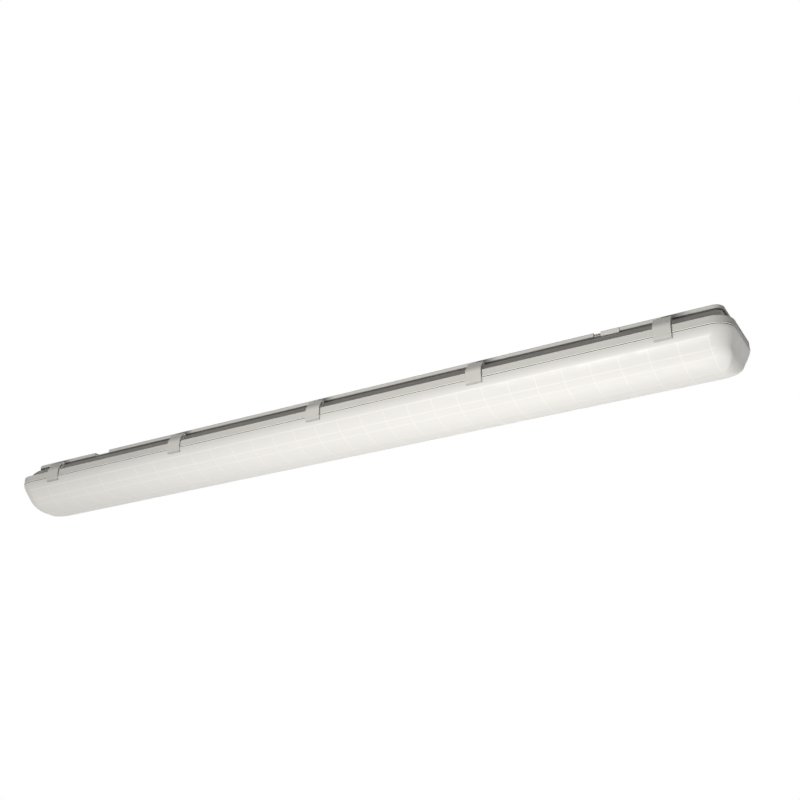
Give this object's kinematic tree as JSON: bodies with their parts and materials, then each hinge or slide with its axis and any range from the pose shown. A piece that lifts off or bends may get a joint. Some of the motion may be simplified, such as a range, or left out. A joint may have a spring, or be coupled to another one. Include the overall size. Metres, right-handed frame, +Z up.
{
  "type": "vapor tight light fixture",
  "caption": "Long sealed ceiling light: ridged plastic housing with side latches that swing off the rim of a domed opal lens, on snap-in ceiling brackets.",
  "frame": {"origin": "on the ceiling plane, midway between the ceiling brackets and above the middle of the light", "axes": "+X along the light, +Y across it to the back, +Z up to the ceiling"},
  "size_m": [1.2638, 0.1318, 0.0846],
  "materials": {
    "housing_plastic": "fine moulded texture",
    "latch_plastic": "fine moulded texture",
    "lens_opal": "opal, smooth outside",
    "gasket_foam": "foamed",
    "pin_steel": "drawn wire",
    "bracket_steel": "satin paint",
    "grommet_rubber": "matt",
    "tray_steel": "white reflecting paint",
    "screw_steel": "zinc plated",
    "board_enamel": "white solder mask",
    "led_phosphor": "phosphor filled",
    "link_plastic": "moulded",
    "driver_case": "satin paint",
    "terminal_plastic": "moulded",
    "terminal_brass": "turned",
    "lug_tin": "tinned",
    "earth_brass": "turned",
    "mains_insulation": "extruded",
    "led_insulation": "extruded"
  },
  "bodies": {
    "fixture": {"housing": "housing_plastic", "gasket": "gasket_foam", "lens": "lens_opal", "latch_pins": "pin_steel", "mount_bracket_left": "bracket_steel", "mount_bracket_right": "bracket_steel", "cable_grommet": "grommet_rubber", "gear_tray": "tray_steel", "tray_screws": "screw_steel", "led_board_left": "board_enamel", "led_board_right": "board_enamel", "led_chips": "led_phosphor", "board_screws": "screw_steel", "board_link": "link_plastic", "led_driver": "driver_case", "driver_screws": "screw_steel", "terminal_block": "terminal_plastic", "terminal_screws": "terminal_brass", "feed_connector": "link_plastic", "earth_lug": "lug_tin", "ground_screw": "earth_brass", "mains_wires": "mains_insulation", "led_wires": "led_insulation"},
    "latch_front_1": {"latch_front_1": "latch_plastic"},
    "latch_front_2": {"latch_front_2": "latch_plastic"},
    "latch_front_3": {"latch_front_3": "latch_plastic"},
    "latch_front_4": {"latch_front_4": "latch_plastic"},
    "latch_front_5": {"latch_front_5": "latch_plastic"},
    "latch_back_1": {"latch_back_1": "latch_plastic"},
    "latch_back_2": {"latch_back_2": "latch_plastic"},
    "latch_back_3": {"latch_back_3": "latch_plastic"},
    "latch_back_4": {"latch_back_4": "latch_plastic"},
    "latch_back_5": {"latch_back_5": "latch_plastic"}
  },
  "joints": [
    {"name": "latch_front_1_hinge", "type": "hinge", "parent": "fixture", "child": "latch_front_1", "pos_m": [-0.544, -0.0596, -0.0272], "axis": [-1, 0, 0], "range_deg": [0, 50]},
    {"name": "latch_front_2_hinge", "type": "hinge", "parent": "fixture", "child": "latch_front_2", "pos_m": [-0.272, -0.0596, -0.0272], "axis": [-1, 0, 0], "range_deg": [0, 50]},
    {"name": "latch_front_3_hinge", "type": "hinge", "parent": "fixture", "child": "latch_front_3", "pos_m": [0, -0.0596, -0.0272], "axis": [-1, 0, 0], "range_deg": [0, 50]},
    {"name": "latch_front_4_hinge", "type": "hinge", "parent": "fixture", "child": "latch_front_4", "pos_m": [0.272, -0.0596, -0.0272], "axis": [-1, 0, 0], "range_deg": [0, 50]},
    {"name": "latch_front_5_hinge", "type": "hinge", "parent": "fixture", "child": "latch_front_5", "pos_m": [0.544, -0.0596, -0.0272], "axis": [-1, 0, 0], "range_deg": [0, 50]},
    {"name": "latch_back_1_hinge", "type": "hinge", "parent": "fixture", "child": "latch_back_1", "pos_m": [-0.544, 0.0596, -0.0272], "axis": [1, 0, 0], "range_deg": [0, 50]},
    {"name": "latch_back_2_hinge", "type": "hinge", "parent": "fixture", "child": "latch_back_2", "pos_m": [-0.272, 0.0596, -0.0272], "axis": [1, 0, 0], "range_deg": [0, 50]},
    {"name": "latch_back_3_hinge", "type": "hinge", "parent": "fixture", "child": "latch_back_3", "pos_m": [0, 0.0596, -0.0272], "axis": [1, 0, 0], "range_deg": [0, 50]},
    {"name": "latch_back_4_hinge", "type": "hinge", "parent": "fixture", "child": "latch_back_4", "pos_m": [0.272, 0.0596, -0.0272], "axis": [1, 0, 0], "range_deg": [0, 50]},
    {"name": "latch_back_5_hinge", "type": "hinge", "parent": "fixture", "child": "latch_back_5", "pos_m": [0.544, 0.0596, -0.0272], "axis": [1, 0, 0], "range_deg": [0, 50]}
  ]
}
